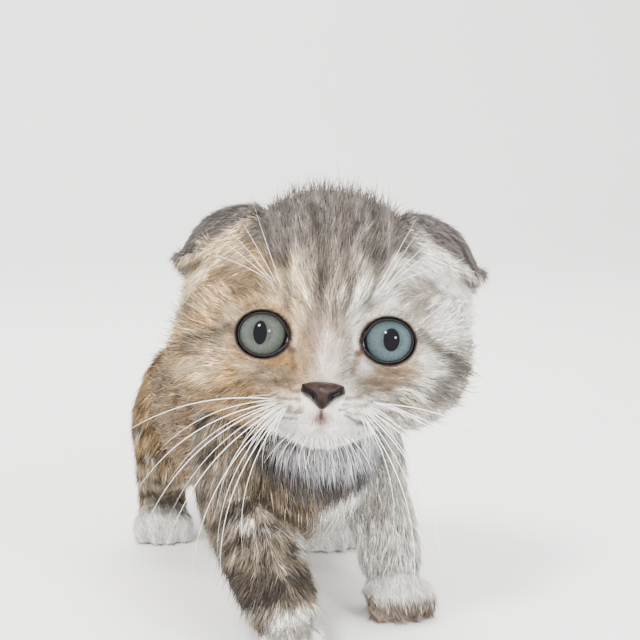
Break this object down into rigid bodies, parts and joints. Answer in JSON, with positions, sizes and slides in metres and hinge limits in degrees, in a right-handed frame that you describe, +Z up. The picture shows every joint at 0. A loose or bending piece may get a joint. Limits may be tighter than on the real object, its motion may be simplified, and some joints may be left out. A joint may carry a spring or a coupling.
{
  "type": "scottish fold cat",
  "caption": "Life-size still model of a young Scottish fold kitten, patched grey-brown tabby and white, in slow walk with its head turned to the viewer and folded ears.",
  "frame": {"origin": "middle of the bounding box's underside, on the floor under the kitten", "axes": "-Y is where the body faces, from tail to chest, +X is the kitten's left and +Z is up"},
  "size_m": [0.1046, 0.299, 0.1271],
  "materials": {
    "coat_crown": "short soft fur, grey-brown with darker stripes",
    "coat_cream": "short soft fur, cream and tan",
    "coat_white": "short soft fur, white",
    "coat_flank": "short soft fur, brown with dark bands",
    "coat_band": "short soft fur, dark grey-brown tabby bands",
    "ear_grey": "very short fur, dark grey",
    "eye": "wet gloss over a grey-green iris",
    "nose_leather": "moist plum-brown skin"
  },
  "bodies": {
    "root": {"head": "coat_crown", "jaw": "coat_white", "nose": "nose_leather", "left_whiskers": "coat_white", "right_whiskers": "coat_white", "right_eye": "eye", "left_eye": "eye", "right_ear": "ear_grey", "left_ear": "ear_grey", "neck": "coat_crown", "chest": "coat_cream", "belly": "coat_flank", "rump": "coat_flank", "right_fore_arm": "coat_cream", "right_fore_forearm": "coat_band", "right_fore_paw": "coat_white", "left_fore_arm": "coat_cream", "left_fore_forearm": "coat_band", "left_fore_paw": "coat_white", "right_hind_thigh": "coat_cream", "right_hind_shank": "coat_band", "right_hind_paw": "coat_white", "left_hind_thigh": "coat_cream", "left_hind_shank": "coat_band", "left_hind_paw": "coat_white", "tail_base": "coat_band", "tail_middle": "coat_band", "tail_tip": "coat_band"}
  },
  "joints": []
}
